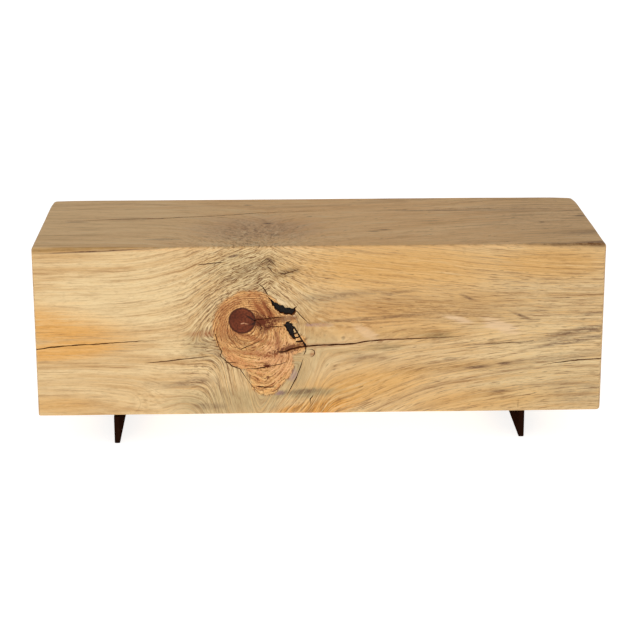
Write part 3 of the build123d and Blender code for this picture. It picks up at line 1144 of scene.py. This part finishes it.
def stepped(start: Point, end: Point, step: float) -> list[Point]:
    """Return points about one step apart from a start to just before an end."""
    count = max(1, round(math.dist(start, end) / step))
    shares = (index / count for index in range(count))
    return [tuple(a + (b - a) * share for a, b in zip(start, end)) for share in shares]


PROUD = 3.0  # how far a cutter stands out of its face, millimetres
CHECK_STEP = 6.0  # between the points of a check, millimetres
CHECK_STRAY = 0.9  # how far they stray across it, millimetres
CHECK_TAPER = (3.0, 2.2)  # how fast a check opens from its start, and from its end
CHECK_PINCH = 0.07  # width of a check's floor, as a share of its mouth
NARROWEST = 0.06  # half the width of a check's tip, millimetres


@dataclass(frozen=True)
class Check:
    """One split along the grain.

    Attributes:
        path: its points on the face, millimetres in the bench's frame.
        opening: its width at the widest place, millimetres.
        depth: how deep it runs, millimetres.
        face: the face that it opens in.
        open_start: True where it runs out over the block's edge, or into another, at its first point.
        open_end: the same at its last point.
    """

    path: tuple[Point, ...]
    opening: float
    depth: float
    face: Face = Face.FRONT
    open_start: bool = False
    open_end: bool = False

    def centre_line(self) -> list[Point]:
        """Return close points along the middle of the split, which stray across it a little."""
        line: list[Point] = []
        for start, end in zip(self.path, self.path[1:]):
            for along, across in stepped(start, end, CHECK_STEP):
                stray = noise.noise(Vector((along * 0.11, across * 0.11, 9.0))) * CHECK_STRAY
                line.append((along, across + stray if line else across))
        return [*line, self.path[-1]]

    def cutter(self) -> bpy.types.Mesh:
        """Make the wedge that cuts the split: a sliver at its mouth, pinched together below."""
        centre = self.centre_line()
        last = len(centre) - 1
        upper, lower = [], []
        for index, (along, across) in enumerate(centre):
            share = index / last
            rise = 1.0 if self.open_start else min(1.0, share * CHECK_TAPER[0])
            fall = 1.0 if self.open_end else min(1.0, (1 - share) * CHECK_TAPER[1])
            uneven = 0.8 + 0.5 * noise.noise(Vector((along * 0.06, across * 0.06, 2.0)))
            half = max(NARROWEST, 0.5 * self.opening * math.sqrt(rise * fall) * uneven)
            ahead = Vector(centre[min(last, index + 1)]) - Vector(centre[max(0, index - 1)])
            side = Vector((-ahead.y, ahead.x)).normalized() * half
            upper.append((along + side.x, across + side.y))
            lower.append((along - side.x, across - side.y))
        mouth = upper + lower[::-1]
        keep = 1 - CHECK_PINCH
        floor = [
            (deep[0] * keep + high[0] * CHECK_PINCH, deep[1] * keep + high[1] * CHECK_PINCH)
            for deep, high in zip(centre + centre[::-1], mouth)
        ]
        return plug(
            [self.face.place(along * MM, across * MM, -PROUD * MM) for along, across in mouth],
            [self.face.place(along * MM, across * MM, self.depth * MM) for along, across in floor],
            "check_cutter",
        )


CHECKS = (
    Check(
        ((-622, 216), (-575, 223), (-521, 227), (-474, 229), (-420, 233), (-383, 235), (-344, 235)),
        3.4, 16, open_start=True,
    ),
    Check(
        ((-89, 207), (-76, 208), (-59, 214), (-46, 217), (-31, 219), (4, 222), (64, 223), (98, 229),
         (141, 233), (189, 234), (257, 236), (313, 239)),
        3.8, 16, open_start=True,
    ),
    Check(((-86, 206), (-74, 209), (-60, 214), (-47, 217), (-38, 219)), 8.0, 12),
    Check(((-34, 220), (-12, 221.4), (20, 222), (60, 223.5), (104, 229)), 5.4, 9),
    Check(((352, 221), (376, 222), (426, 223), (462, 227)), 1.8, 12),
    Check(((478, 172), (510, 177), (545, 181), (575, 184), (622, 186)), 3.4, 12, open_end=True),
    Check(((-378, 185), (-342, 188), (-279, 195), (-227, 200)), 3.4, 12),
    Check(
        ((-225, 249), (-221, 233), (-217, 220), (-211, 209), (-215, 200), (-203, 188), (-190, 177),
         (-173, 170), (-160, 149), (-143, 126), (-126, 108)),
        3.2, 8, open_start=True,
    ),
    Check(((-262, 402), (-233, 405), (-204, 407)), 4.8, 7),
    Check(((-142, 277), (-135, 280), (-107, 283), (-71, 286)), 4.0, 8, open_start=True),
    Check(((-124, 261), (-105, 264), (-88, 264), (-75, 264)), 4.0, 6),
    Check(((-136, 276), (-129, 270), (-126, 262), (-131, 253)), 3.4, 6),
    Check(((-116, 311), (-108, 299), (-106, 290)), 2.6, 5),
    Check(((-207, 185), (-190, 184), (-172, 186)), 3.2, 6),
    Check(((-190, 222), (-170, 214), (-151, 223), (-127, 233), (-120, 240)), 3.2, 6),
    Check(((-162, 170), (-140, 170), (-121, 173), (-95, 178), (-68, 185)), 4.4, 6),
    Check(((-118, 180), (-112, 174)), 4.0, 5),
    Check(((-143, 132), (-120, 128), (-92, 128)), 5.0, 6),
    Check(((-36, 194), (-42, 175), (-52, 148), (-72, 110)), 3.6, 8),
    Check(((-32, 222), (-31, 209), (-37, 198)), 5.0, 8, open_start=True),
    Check(((-51, 299), (-35, 281), (-19, 266)), 2.8, 8, open_start=True),
    Check(((-14, 110), (-22, 100), (-22, 86)), 3.4, 6),
    Check(((-26, 213), (-19, 213), (-13, 209), (-12, 203), (-15, 198), (-21, 195)), 3.6, 6),
    Check(((438, 102), (455, 105), (468, 109)), 1.8, 5),
    Check(((430, 95), (430, 73)), 1.4, 6),
    Check(((-133, 362), (-122, 352), (-113, 338), (-109, 330)), 4.0, 7),
    Check(((-128, 404), (-114, 414), (-102, 408), (-92, 396)), 3.2, 6),
    Check(((-114, 400), (-106, 392), (-98, 380)), 3.0, 6),
    Check(((-142, 388), (-128, 398), (-116, 394)), 1.8, 6),
    Check(((-92, 384), (-76, 381), (-58, 386), (-42, 392)), 3.0, 6),
    Check(((-84, 372), (-70, 376), (-54, 374)), 1.6, 6),
    Check(
        ((-590, 20), (-520, 22), (-445, 32), (-351, 38), (-290, 48), (-232, 58), (-128, 84), (32, 100)),
        5.4, 16, Face.TOP,
    ),
    Check(((262, 108), (340, 111), (423, 113), (500, 110), (586, 105)), 4.0, 14, Face.TOP),
    Check(((588, 52), (604, 47), (622, 42)), 4.0, 10, Face.TOP, open_end=True),
    Check(((108, -79), (131, -70), (158, -74)), 3.0, 5, Face.TOP),
    Check(
        ((-622, 301), (-520, 296), (-400, 288), (-250, 283), (-120, 284)),
        3.0, 15, Face.BACK, open_start=True,
    ),
    Check(((-60, 214), (90, 206), (240, 209), (410, 219), (500, 222)), 2.6, 13, Face.BACK),
    Check(((330, 341), (440, 346), (622, 344)), 2.2, 12, Face.BACK, open_end=True),
    Check(((62, 134), (34, 178), (-6, 236), (-58, 300), (-80, 340)), 3.2, 14, Face.LEFT_END),
    Check(((66, 128), (112, 122), (176, 104)), 2.6, 12, Face.LEFT_END),
    Check(((56, 126), (-4, 118), (-86, 110), (-150, 92)), 2.2, 12, Face.LEFT_END),
    Check(((64, 140), (92, 214), (130, 292), (152, 350)), 1.8, 12, Face.LEFT_END),
    Check(((58, 134), (10, 190), (-60, 250), (-128, 318)), 2.8, 14, Face.RIGHT_END),
    Check(((66, 134), (104, 196), (170, 268)), 2.4, 12, Face.RIGHT_END),
    Check(((54, 124), (0, 100), (-66, 84)), 2.0, 12, Face.RIGHT_END),
    Check(((62, 142), (54, 230), (60, 320)), 1.8, 12, Face.RIGHT_END),
)


POCKET_DEPTH = 16 * MM
POCKET_STEP = 2.6  # between the points of a pocket's edge, millimetres
POCKET_NARROWING = 0.86  # size of a pocket's floor, as a share of its mouth
BARK_BACK = 4 * MM  # from the front face to the bark
BARK_CLEARANCE = 0.2 * MM  # under the bark


@dataclass(frozen=True)
class Pocket:
    """A pocket of bark that the trunk closed in beside the limb.

    Attributes:
        outlines: its outlines in the front face, millimetres out from the knot's heart.
        ragged: how far its edges stray, millimetres.
    """

    outlines: tuple[tuple[Point, ...], ...]
    ragged: float

    def rough(self, outline: Sequence[Point]) -> list[Point]:
        """Break an outline's straight sides into small uneven steps, in the bench's frame."""
        points = []
        for corner, following in zip(outline, (*outline[1:], outline[0])):
            for index, (out, above) in enumerate(stepped(corner, following, POCKET_STEP)):
                along, up = HEART.x / MM + out, HEART.z / MM + above
                stray = self.ragged if index else 0.0
                spots = (Vector((along * 0.37, up * 0.37, layer)) for layer in (4.5, 14.5))
                aside, higher = (noise.noise(spot) * stray for spot in spots)
                points.append((along + aside, up + higher))
        return points

    def plugs(self, top: float, bottom: float, top_size: float, bottom_size: float) -> list[bpy.types.Mesh]:
        """Extrude each outline into the wood.

        Args:
            top: where the plugs start under the front face, metres.
            bottom: where they end.
            top_size: their share of the outline's size at the top.
            bottom_size: the same at the bottom.

        Returns:
            The closed plugs.
        """

        def placed(size: float, depth: float) -> list[Vector]:
            """Return the outline drawn in towards its middle, at its depth."""
            drawn_in = (middle + (Vector(point) - middle) * size for point in points)
            return [Face.FRONT.place(at.x * MM, at.y * MM, depth) for at in drawn_in]

        made = []
        for outline in self.outlines:
            points = self.rough(outline)
            middle = Vector(map(sum, zip(*points))) / len(points)
            made.append(plug(placed(top_size, top), placed(bottom_size, bottom), "pocket_plug"))
        return made

    def cutters(self) -> list[bpy.types.Mesh]:
        """Make the ragged plugs that cut the pocket, narrower at its bottom."""
        return self.plugs(-PROUD * MM, POCKET_DEPTH, 1.0, POCKET_NARROWING)


UPPER_POCKET = Pocket(
    (
        ((49, 58), (57, 50), (62, 47), (66, 41), (74, 39), (79, 34), (86, 34), (92, 28), (101, 28.5),
         (106, 26), (117, 31), (113, 25), (115, 20), (111, 12), (105, 10), (100, 13), (92, 11.5),
         (87, 15), (79, 15), (75, 20), (69, 23), (66, 30), (61, 35), (59, 42)),
    ),
    1.8,
)
# A band on its left, a thin edge on its right and three bars across, with slivers of wood between.
LOWER_POCKET = Pocket(
    (
        ((84, -9), (90, -8), (92, -3), (101, -0.5), (99, -5), (107, -7), (105.5, -11), (112, -15),
         (108, -20), (109.5, -25), (108, -30), (111, -36), (113, -44), (107, -43), (103, -37),
         (99, -33), (97, -27), (92.5, -22), (91, -17), (88, -13)),
        ((105, -28.5), (116, -26), (118, -29.5), (106, -32)),
        ((108, -38), (120, -35.5), (122, -39), (109, -41.5)),
        ((112, -47), (124, -44.5), (127, -49), (114, -50)),
        ((106, -13), (110, -13), (117, -25), (122.5, -36), (129, -46), (135, -55), (137, -62),
         (132, -61), (126.5, -49), (119.5, -38), (113.5, -27), (108.5, -18)),
    ),
    1.3,
)


def to_mesh(shape: bmesh.types.BMesh, name: str) -> bpy.types.Mesh:
    """Write a bmesh out as a mesh and free it."""
    mesh = bpy.data.meshes.new(name)
    shape.to_mesh(mesh)
    shape.free()
    return mesh


def to_object(data: bpy.types.ID, name: str) -> bpy.types.Object:
    """Put a mesh, light or camera into the scene at the origin."""
    made = bpy.data.objects.new(name, data)
    bpy.context.scene.collection.objects.link(made)
    return made


def final_mesh(piece: bpy.types.Object) -> bpy.types.Mesh:
    """Return a piece's mesh with its modifiers applied."""
    bpy.context.view_layer.update()
    evaluated = piece.evaluated_get(bpy.context.evaluated_depsgraph_get())
    return bpy.data.meshes.new_from_object(evaluated)


def in_order(mesh: bpy.types.Mesh) -> bmesh.types.BMesh:
    """Copy a mesh with its points and faces in the order of their places.

    A Boolean gives the same ones in another order each run, and what is merged after it follows the order.

    Args:
        mesh: the mesh to copy.

    Returns:
        The copy.
    """
    spots = sorted({tuple(vert.co) for vert in mesh.vertices})
    rank = {spot: index for index, spot in enumerate(spots)}
    slots = {}
    for face in mesh.polygons:
        corners = list(dict.fromkeys(rank[tuple(mesh.vertices[index].co)] for index in face.vertices))
        first = corners.index(min(corners))
        if len(corners) > 2:
            slots[(*corners[first:], *corners[:first])] = face.material_index
    shape = bmesh.new()
    points = [shape.verts.new(spot) for spot in spots]
    for corners, slot in sorted(slots.items()):
        if not shape.faces.get([points[index] for index in corners]):
            shape.faces.new([points[index] for index in corners]).material_index = slot
    return shape


def clean(mesh: bpy.types.Mesh, apart: float) -> None:
    """Merge points less than a distance apart and keep only the largest connected part.

    Args:
        mesh: the mesh to clean.
        apart: the distance, metres.
    """
    shape = in_order(mesh)
    bmesh.ops.remove_doubles(shape, verts=shape.verts[:], dist=apart)
    for _ in range(2):
        bmesh.ops.triangulate(shape, faces=[face for face in shape.faces if len(face.verts) > 4])
        bmesh.ops.dissolve_degenerate(shape, dist=apart, edges=shape.edges[:])
    parts: list[set[bmesh.types.BMVert]] = []
    known: set[bmesh.types.BMVert] = set()
    for start in shape.verts:
        if start in known:
            continue
        part, front = {start}, [start]
        while front:
            near = {edge.other_vert(vert) for vert in front for edge in vert.link_edges} - part
            part |= near
            front = list(near)
        known |= part
        parts.append(part)
    parts.sort(key=len)
    bmesh.ops.delete(shape, geom=[vert for part in parts[:-1] for vert in part], context="VERTS")
    shape.to_mesh(mesh)
    shape.free()


def smooth_shade(mesh: bpy.types.Mesh, sharp_above: float) -> None:
    """Shade a mesh smooth, but for edges sharper than an angle in degrees."""
    mesh.polygons.foreach_set("use_smooth", [True] * len(mesh.polygons))
    mesh.set_sharp_from_angle(angle=math.radians(sharp_above))
    mesh.update()


# =================================================================== the bench
CUT_DOUBLES = 0.03 * MM  # points this near become one after the cuts
LUMP_DOUBLES = 0.001 * MM  # and in a lump of bark
BLOCK_SHARP = 32  # edges sharper than this show as edges, degrees
LUMP_SHARP = 50


@dataclass
class TimberBlock:
    """The squared pine block, planed by hand, with its checks and bark pockets.

    Attributes:
        effects: the shared node groups.
        edge_rows: distances of extra rows of vertices from each edge, metres.
        cells: rows of vertices between the edges, along X, Y and Z.
        arris: usual radius of the eased edges, metres.
        right_wear: how much more worn they are at the right end.
        back_wear: how much more at the back corners of the right and the left end.
        wane: widths of the flats on the upper front edge, at the left and the right end.
        hollow: how far the faces may dip below flat, metres.
    """

    effects: Effects
    edge_rows: tuple[float, ...] = (0.0012, 0.0026, 0.0044, 0.0068, 0.0100, 0.0145)
    cells: tuple[int, int, int] = (165, 52, 46)
    arris: float = 0.0048
    right_wear: float = 0.0035
    back_wear: Point = (0.0085, 0.0050)
    wane: Point = (0.0095, 0.0075)
    hollow: float = 0.0012

    def radius(self, point: Vector) -> float:
        """Return the radius of the eased edges near a point."""
        swell = noise.noise(Vector((point.x * 7.0, point.y * 9.0, point.z * 9.0)))
        to_right = (point.x - BLOCK_LOW.x) / (BLOCK_HIGH.x - BLOCK_LOW.x)
        radius = self.arris * (1.0 + 0.3 * swell) + self.right_wear * to_right**6
        for corner, extra in zip((BLOCK_HIGH.x, BLOCK_LOW.x), self.back_wear):
            off = math.hypot(point.x - corner, point.y - BLOCK_HIGH.y) / 0.035
            radius += extra * math.exp(-off * off)
        return radius

    def rounded(self, point: Vector) -> Vector:
        """Return a point of the plain box moved onto the eased and hand-worn block."""
        middle = (BLOCK_LOW + BLOCK_HIGH) / 2
        half = (BLOCK_HIGH - BLOCK_LOW) / 2
        radius = self.radius(point)
        out = point - middle
        over = Vector(max(0.0, abs(out[i]) - (half[i] - radius)) for i in range(3))
        if over.length > radius:
            pulled = over * (radius / over.length)
            eased = (abs(out[i]) - over[i] + pulled[i] if over[i] else abs(out[i]) for i in range(3))
            out = Vector(math.copysign(size, way) for size, way in zip(eased, out))
        outward = Vector(math.copysign(over[i], out[i]) for i in range(3)).normalized()
        broad = noise.noise(Vector((point.x * 2.6, point.y * 5.0, point.z * 5.0))) * 0.5 + 0.5
        tooled = noise.noise(Vector((point.x * 16.0, point.y * 24.0, point.z * 24.0))) * 0.5 + 0.5
        dip = self.hollow * (0.75 * broad + 0.25 * tooled)
        if outward.z < -0.5:
            dip *= 0.2  # the plates need a flat underside
        return self.waned(middle + out) - outward * dip

    def waned(self, point: Vector) -> Vector:
        """Return a point cut back to the flats that taper along the upper front edge."""
        to_left = min(1.0, max(0.0, (-0.33 - point.x) / 0.28))
        to_right = min(1.0, max(0.0, (point.x - 0.36) / 0.25))
        width = self.wane[0] * to_left + self.wane[1] * to_right**1.5
        inward, down = point.y - BLOCK_LOW.y, BLOCK_HIGH.z - point.z
        if width <= 0.0 or inward + down >= width:
            return point
        shift = (width - inward - down) / 2
        return point + Vector((0.0, shift, -shift))

    def body(self) -> bpy.types.Mesh:
        """Make the worn block without its cuts."""
        shape = bmesh.new()
        bmesh.ops.create_cube(shape, size=1.0)
        bmesh.ops.scale(shape, vec=BLOCK_HIGH - BLOCK_LOW, verts=shape.verts[:])
        bmesh.ops.translate(shape, vec=(BLOCK_LOW + BLOCK_HIGH) / 2, verts=shape.verts[:])
        for axis in range(3):
            normal = Vector(float(i == axis) for i in range(3))
            rows = [BLOCK_LOW[axis] + row for row in self.edge_rows]
            rows += [BLOCK_HIGH[axis] - row for row in self.edge_rows]
            first, last = BLOCK_LOW[axis] + self.edge_rows[-1], BLOCK_HIGH[axis] - self.edge_rows[-1]
            cells = self.cells[axis]
            rows += [first + (last - first) * index / cells for index in range(1, cells)]
            for row in rows:
                whole = shape.verts[:] + shape.edges[:] + shape.faces[:]
                bmesh.ops.bisect_plane(
                    shape, geom=whole, plane_co=normal * row, plane_no=normal, dist=1e-6
                )
        for vert in shape.verts:
            vert.co = self.rounded(vert.co)
        bmesh.ops.recalc_face_normals(shape, faces=shape.faces[:])
        return to_mesh(shape, "timber")

    def cut(self, block: bpy.types.Object, wall: bpy.types.Material) -> bpy.types.Mesh:
        """Cut the checks and the bark pockets.

        Args:
            block: the plain block.
            wall: the material of the cuts' walls, painted dark as their shade.

        Returns:
            The cut mesh.
        """
        cutters = bpy.data.collections.new("cutters")
        bpy.context.scene.collection.children.link(cutters)
        for mesh in [*(check.cutter() for check in CHECKS), *UPPER_POCKET.cutters(), *LOWER_POCKET.cutters()]:
            mesh.materials.append(wall)
            cutters.objects.link(bpy.data.objects.new("cutter", mesh))
        cut = block.modifiers.new("checks", "BOOLEAN")
        cut.operation = "DIFFERENCE"
        cut.solver = "EXACT"
        cut.operand_type = "COLLECTION"
        cut.collection = cutters
        cut.material_mode = "TRANSFER"
        finished = final_mesh(block)
        block.modifiers.clear()
        for cutter in cutters.objects[:]:
            bpy.data.objects.remove(cutter)
        bpy.data.collections.remove(cutters)
        return finished

    def build(self) -> bpy.types.Object:
        """Make the block, cut its checks and pockets and dress it."""
        pine = PineFinish(self.effects).material()
        wall = PaintedCheckShade(self.effects).material()
        block = to_object(self.body(), "pine_block")
        block.data.materials.append(pine)
        block.data = self.cut(block, wall)
        clean(block.data, CUT_DOUBLES)
        smooth_shade(block.data, BLOCK_SHARP)
        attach(block, BODY)
        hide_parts("timber_block")
        return block


@dataclass
class BarkPockets:
    """The bark that the trunk closed in beside the limb, in two crumbly lumps.

    Attributes:
        sizes: the bark's share of its pocket's outline, at its top and its bottom.
        voxel: grain of the lumps' surface, metres.
        crumble: how far the surface strays, metres.
    """

    sizes: Point = (0.88, 0.80)
    voxel: float = 0.0011
    crumble: float = 0.0016

    def lump(self, pocket: Pocket, name: str, finish: bpy.types.Material) -> bpy.types.Object:
        """Make one node's bark.

        Args:
            pocket: the pocket that it fills.
            name: the piece's name.
            finish: its material.

        Returns:
            The piece.
        """
        shape = bmesh.new()
        for mesh in pocket.plugs(BARK_BACK, POCKET_DEPTH - BARK_CLEARANCE, *self.sizes):
            shape.from_mesh(mesh)
            bpy.data.meshes.remove(mesh)
        piece = to_object(to_mesh(shape, name), name)
        remesh = piece.modifiers.new("crumbs", "REMESH")
        remesh.mode = "VOXEL"
        remesh.voxel_size = self.voxel
        piece.data = final_mesh(piece)
        piece.modifiers.clear()
        clean(piece.data, LUMP_DOUBLES)
        for vert in piece.data.vertices:
            stray = noise.noise(vert.co * 230.0) + 0.5 * noise.noise(vert.co * 520.0)
            if vert.co.y < FRONT_Y + BARK_BACK + 2 * MM:
                vert.co.y += self.crumble * (stray + 0.3)
        smooth_shade(piece.data, LUMP_SHARP)
        piece.data.materials.clear()
        piece.data.materials.append(finish)
        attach(piece, BODY)
        return piece

    def build(self) -> list[bpy.types.Object]:
        """Make both lumps."""
        finish = BarkFinish().material()
        upper = self.lump(UPPER_POCKET, "upper_bark", finish)
        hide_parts("upper_bark_inclusion")
        lower = self.lump(LOWER_POCKET, "lower_bark", finish)
        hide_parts("lower_bark_inclusion")
        return [upper, lower]


@dataclass
class BladeFeet:
    """The two welded steel feet and their screws, which keep their CAD shapes."""

    effects: Effects

    def build(self) -> list[bpy.types.Object]:
        """Dress the CAD nodes of both feet."""
        finishes = {slot: finish.material(self.effects) for slot, finish in FOOT_FINISHES.items()}
        dressed = []
        for part in frame["record"]["subparts"]:
            slot = part["material_slot"]
            if slot in finishes:
                node = frame["nodes"][part["node"]]
                node.data.materials.clear()
                node.data.materials.append(finishes[slot])
                dressed.append(node)
        return dressed


# =================================================================== the studio
def turned(axis: str, degrees: float) -> Matrix:
    """Return a turn about one axis."""
    return Matrix.Rotation(math.radians(degrees), 4, axis)


@dataclass
class Studio:
    """A white floor, soft light from the front and the camera.

    Attributes:
        floor_size: half the floor's width, metres.
        floor_shade: how light its paint is.
        floor_glow: how much it shines by itself, which keeps it white.
        sky: strength of the even light from all sides.
        lamp_power: the soft box's power, watts.
        lamp_size: its width and height, metres.
        lamp_place: where it stands.
        lamp_yaw: how far it is turned to the right, degrees.
        lamp_pitch: how far it is tipped up from facing down, degrees.
        lens: the camera's focal length, millimetres.
        sensor: its sensor's width, millimetres.
        eye: its place.
        yaw: how far it looks to the right, degrees.
        pitch: how far it looks down, degrees.
        roll: how far it leans, degrees.
    """

    floor_size: float = 30.0
    floor_shade: float = 0.55
    floor_glow: float = 0.83
    sky: float = 0.52
    lamp_power: float = 27.0
    lamp_size: Point = (3.2, 1.6)
    lamp_place: Triple = (-0.9, -3.4, 0.9)
    lamp_yaw: float = 14.0
    lamp_pitch: float = 84.0
    lens: float = 107.17
    sensor: float = 36.0
    eye: Triple = (-0.1125, -4.131, 1.4369)
    yaw: float = 1.643
    pitch: float = 16.516
    roll: float = -0.077

    def floor(self) -> None:
        """Lay a wide, plain white floor."""
        shape = bmesh.new()
        bmesh.ops.create_grid(shape, x_segments=1, y_segments=1, size=self.floor_size)
        floor = to_object(to_mesh(shape, "floor"), "floor")
        finish, _, shader = new_material("white_floor")
        shader.inputs["Base Color"].default_value = (*[self.floor_shade] * 3, 1.0)
        shader.inputs["Roughness"].default_value = 0.9
        shader.inputs["Specular IOR Level"].default_value = 0.1
        shader.inputs["Emission Color"].default_value = (1.0, 1.0, 1.0, 1.0)
        shader.inputs["Emission Strength"].default_value = self.floor_glow
        floor.data.materials.append(finish)

    def lights(self) -> None:
        """Light the room evenly, with a broad soft light before the bench."""
        world = bpy.data.worlds.new("studio")
        world.use_nodes = True
        world.node_tree.nodes["Background"].inputs["Color"].default_value = (1.0, 1.0, 1.0, 1.0)
        world.node_tree.nodes["Background"].inputs["Strength"].default_value = self.sky
        bpy.context.scene.world = world
        lamp = bpy.data.lights.new("front_softbox", "AREA")
        lamp.shape = "RECTANGLE"
        lamp.size, lamp.size_y = self.lamp_size
        lamp.energy = self.lamp_power
        softbox = to_object(lamp, "front_softbox")
        place = Matrix.Translation(self.lamp_place)
        softbox.matrix_world = place @ turned("Z", -self.lamp_yaw) @ turned("X", self.lamp_pitch)

    def camera(self) -> None:
        """Set up the camera and plain display colours."""
        data = bpy.data.cameras.new("camera")
        data.lens = self.lens
        data.sensor_width = self.sensor
        camera = to_object(data, "camera")
        aim = turned("Z", -self.yaw) @ turned("X", 90 - self.pitch) @ turned("Z", self.roll)
        camera.matrix_world = Matrix.Translation(self.eye) @ aim
        bpy.context.scene.camera = camera
        bpy.context.scene.view_settings.view_transform = "Standard"

    def build(self) -> None:
        """Set up the whole studio."""
        self.floor()
        self.lights()
        self.camera()


def main() -> None:
    """Build the bench and its studio."""
    logging.basicConfig(level=logging.INFO, format="%(message)s")
    Studio().build()
    writers = (soft_patch_effect, trunk_growth_effect, limb_growth_effect, fine_grain_effect, mottle_effect)
    effects = Effects(*(write() for write in writers))
    pieces = [TimberBlock(effects).build(), *BarkPockets().build(), *BladeFeet(effects).build()]
    for piece in pieces:
        log.info("%s: %d faces", piece.name, len(piece.data.polygons))


if __name__ == "__main__":
    main()
